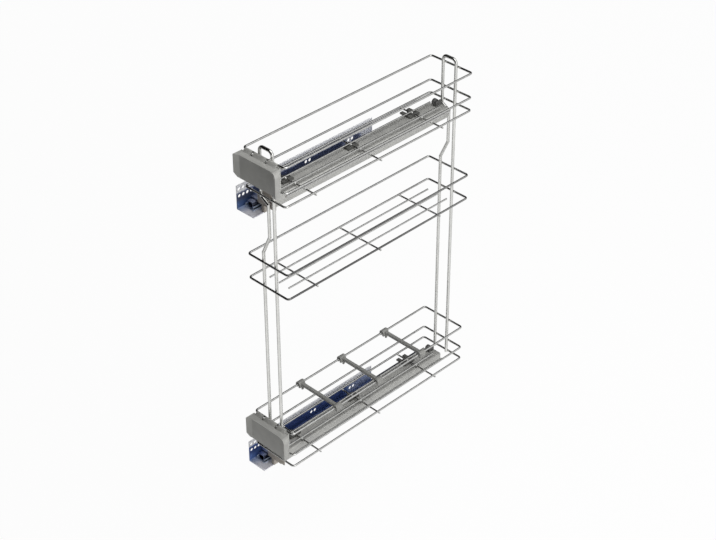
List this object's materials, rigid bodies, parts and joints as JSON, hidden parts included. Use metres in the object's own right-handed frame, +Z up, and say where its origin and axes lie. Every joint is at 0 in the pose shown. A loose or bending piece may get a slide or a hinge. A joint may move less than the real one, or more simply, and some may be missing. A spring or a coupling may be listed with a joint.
{
  "type": "pull-out bottle rack",
  "caption": "Narrow kitchen pull-out with wire baskets on ball-bearing rails, side mounted, with covered door plates and clip-in dividers.",
  "frame": {"origin": "middle of the upper rail's two main fixing screws, on the inside of the cabinet's left side panel", "axes": "+X from the left side panel to the right, seen from the front; +Y into the cabinet, so the rack pulls out along -Y; +Z up"},
  "size_m": [0.113, 0.4766, 0.6886],
  "materials": {
    "zinc_blue": "blue passivated zinc",
    "zinc_steel": "bright zinc",
    "ball_steel": "polished",
    "grey_paint": "silver grey powder coat",
    "bracket_steel": "warm grey powder coat",
    "screw_steel": "zinc plated",
    "chrome_wire": "bright chrome",
    "post_steel": "bright chrome",
    "cover_plastic": "fine matt grain",
    "divider_plastic": "satin",
    "dark_plastic": "matt",
    "wheel_plastic": "matt",
    "black_plastic": "matt",
    "rubber": "matt"
  },
  "bodies": {
    "cabinet_side": {"upper_cabinet_rail": "zinc_blue", "upper_cabinet_channel": "zinc_blue", "upper_rail_buffer": "rubber", "lower_cabinet_rail": "zinc_blue", "lower_cabinet_channel": "zinc_blue", "lower_rail_buffer": "rubber"},
    "rack": {"upper_drawer_channel": "zinc_steel", "upper_carrier": "grey_paint", "upper_front_bracket": "bracket_steel", "upper_bracket_screws": "screw_steel", "upper_rivets": "screw_steel", "upper_wire_clips": "black_plastic", "upper_rear_cap": "dark_plastic", "upper_door_plate": "grey_paint", "upper_front_cap": "cover_plastic", "upper_rings": "chrome_wire", "upper_floor_wires": "chrome_wire", "upper_cross_wires": "chrome_wire", "lower_drawer_channel": "zinc_steel", "lower_carrier": "grey_paint", "lower_front_bracket": "bracket_steel", "lower_bracket_screws": "screw_steel", "lower_rivets": "screw_steel", "lower_wire_clips": "black_plastic", "lower_rear_cap": "dark_plastic", "lower_door_plate": "grey_paint", "lower_front_cap": "cover_plastic", "lower_rings": "chrome_wire", "lower_floor_wires": "chrome_wire", "lower_cross_wires": "chrome_wire", "middle_rings": "chrome_wire", "middle_floor_wires": "chrome_wire", "middle_cross_wires": "chrome_wire", "front_post": "post_steel", "rear_post": "post_steel"},
    "upper_middle": {"upper_middle_rail": "zinc_steel"},
    "upper_outer_row": {"upper_outer_cage": "zinc_steel", "upper_outer_balls": "ball_steel"},
    "upper_inner_row": {"upper_inner_cage": "zinc_steel", "upper_inner_balls": "ball_steel"},
    "upper_wheel": {"upper_thumb_wheel": "wheel_plastic"},
    "upper_left_adjuster": {"upper_left_cam": "screw_steel"},
    "upper_right_adjuster": {"upper_right_cam": "screw_steel"},
    "lower_middle": {"lower_middle_rail": "zinc_steel"},
    "lower_outer_row": {"lower_outer_cage": "zinc_steel", "lower_outer_balls": "ball_steel"},
    "lower_inner_row": {"lower_inner_cage": "zinc_steel", "lower_inner_balls": "ball_steel"},
    "lower_wheel": {"lower_thumb_wheel": "wheel_plastic"},
    "lower_left_adjuster": {"lower_left_cam": "screw_steel"},
    "lower_right_adjuster": {"lower_right_cam": "screw_steel"},
    "front_clip_divider": {"front_divider": "divider_plastic"},
    "middle_clip_divider": {"middle_divider": "divider_plastic"},
    "rear_clip_divider": {"rear_divider": "divider_plastic"}
  },
  "joints": [
    {"name": "rack_slide", "type": "slide", "parent": "cabinet_side", "child": "rack", "axis": [0, -1, 0], "range_m": [0, 0.38]},
    {"name": "upper_middle_slide", "type": "slide", "parent": "cabinet_side", "child": "upper_middle", "axis": [0, -1, 0], "range_m": [0, 0.19]},
    {"name": "upper_outer_row_slide", "type": "slide", "parent": "cabinet_side", "child": "upper_outer_row", "axis": [0, -1, 0], "range_m": [0, 0.095]},
    {"name": "upper_inner_row_slide", "type": "slide", "parent": "cabinet_side", "child": "upper_inner_row", "axis": [0, -1, 0], "range_m": [0, 0.285]},
    {"name": "lower_middle_slide", "type": "slide", "parent": "cabinet_side", "child": "lower_middle", "axis": [0, -1, 0], "range_m": [0, 0.19]},
    {"name": "lower_outer_row_slide", "type": "slide", "parent": "cabinet_side", "child": "lower_outer_row", "axis": [0, -1, 0], "range_m": [0, 0.095]},
    {"name": "lower_inner_row_slide", "type": "slide", "parent": "cabinet_side", "child": "lower_inner_row", "axis": [0, -1, 0], "range_m": [0, 0.285]},
    {"name": "upper_wheel_turn", "type": "hinge", "parent": "rack", "child": "upper_wheel", "pos_m": [0.04, 0.2986, 0.01975], "axis": [1, 0, 0], "range_deg": [-180, 180]},
    {"name": "upper_left_cam_turn", "type": "hinge", "parent": "rack", "child": "upper_left_adjuster", "pos_m": [0.026, -0.1345, 0.071], "axis": [0, -1, 0], "range_deg": [-90, 90]},
    {"name": "upper_right_cam_turn", "type": "hinge", "parent": "rack", "child": "upper_right_adjuster", "pos_m": [0.092, -0.1345, 0.071], "axis": [0, -1, 0], "range_deg": [-90, 90]},
    {"name": "lower_wheel_turn", "type": "hinge", "parent": "rack", "child": "lower_wheel", "pos_m": [0.04, 0.2986, -0.53185], "axis": [1, 0, 0], "range_deg": [-180, 180]},
    {"name": "lower_left_cam_turn", "type": "hinge", "parent": "rack", "child": "lower_left_adjuster", "pos_m": [0.026, -0.1345, -0.4806], "axis": [0, -1, 0], "range_deg": [-90, 90]},
    {"name": "lower_right_cam_turn", "type": "hinge", "parent": "rack", "child": "lower_right_adjuster", "pos_m": [0.092, -0.1345, -0.4806], "axis": [0, -1, 0], "range_deg": [-90, 90]},
    {"name": "front_divider_slide", "type": "slide", "parent": "rack", "child": "front_clip_divider", "axis": [0, 1, 0], "range_m": [-0.09, 0.045]},
    {"name": "middle_divider_slide", "type": "slide", "parent": "rack", "child": "middle_clip_divider", "axis": [0, 1, 0], "range_m": [-0.045, 0.045]},
    {"name": "rear_divider_slide", "type": "slide", "parent": "rack", "child": "rear_clip_divider", "axis": [0, 1, 0], "range_m": [-0.045, 0.09]}
  ],
  "couplings": [
    {"joint": "upper_middle_slide", "follows": "rack_slide", "ratio": 0.5},
    {"joint": "upper_outer_row_slide", "follows": "rack_slide", "ratio": 0.25},
    {"joint": "upper_inner_row_slide", "follows": "rack_slide", "ratio": 0.75},
    {"joint": "lower_middle_slide", "follows": "rack_slide", "ratio": 0.5},
    {"joint": "lower_outer_row_slide", "follows": "rack_slide", "ratio": 0.25},
    {"joint": "lower_inner_row_slide", "follows": "rack_slide", "ratio": 0.75}
  ]
}
